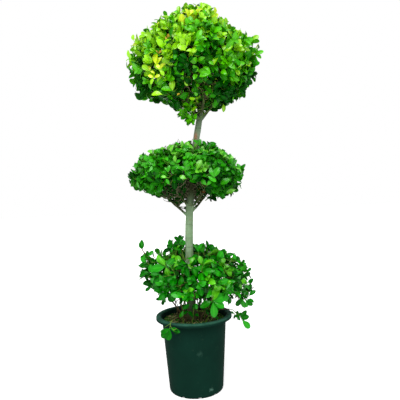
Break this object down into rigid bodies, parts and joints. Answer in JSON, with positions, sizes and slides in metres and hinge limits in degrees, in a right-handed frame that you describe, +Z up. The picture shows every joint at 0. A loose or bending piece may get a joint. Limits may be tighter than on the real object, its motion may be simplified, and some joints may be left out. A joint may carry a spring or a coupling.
{
  "type": "potted three-tier topiary tree",
  "caption": "Clipped small-leaved fig with a round head, a flat head and loose low shoots on one bare stem, standing in a dark green nursery pot.",
  "frame": {"origin": "middle of the pot's flat underside, which stands on the floor", "axes": "+Z up along the plant, +X to the right of the main view, +Y away from the main view"},
  "size_m": [0.6096, 0.5039, 1.6546],
  "materials": {
    "pot": "satin moulded plastic, very dark green",
    "soil": "rough dark potting mix",
    "bark": "smooth grey-green bark",
    "top_leaves": "glossy yellow-green young leaves",
    "middle_leaves": "glossy green leaves",
    "shoot_leaves": "glossy green leaves"
  },
  "bodies": {
    "root": {"pot": "pot", "soil": "soil", "trunk": "bark", "top_bough_1": "bark", "top_bough_2": "bark", "top_bough_3": "bark", "top_bough_4": "bark", "top_bough_5": "bark", "top_leader": "bark", "middle_bough_1": "bark", "middle_bough_2": "bark", "middle_bough_3": "bark", "middle_bough_4": "bark", "middle_bough_5": "bark", "middle_bough_6": "bark", "shoot_left": "bark", "shoot_upper_left": "bark", "shoot_upper_right": "bark", "shoot_right": "bark", "shoot_front_right": "bark", "shoot_front_left": "bark", "shoot_back_left": "bark", "shoot_back_right": "bark", "shoot_over_rim_right": "bark", "shoot_over_rim_front": "bark", "top_head": "top_leaves", "middle_head": "middle_leaves", "leaves_left": "shoot_leaves", "leaves_upper_left": "shoot_leaves", "leaves_upper_right": "shoot_leaves", "leaves_right": "shoot_leaves", "leaves_front_right": "shoot_leaves", "leaves_front_left": "shoot_leaves", "leaves_back_left": "shoot_leaves", "leaves_back_right": "shoot_leaves", "leaves_over_rim_right": "shoot_leaves", "leaves_over_rim_front": "shoot_leaves"}
  },
  "joints": []
}
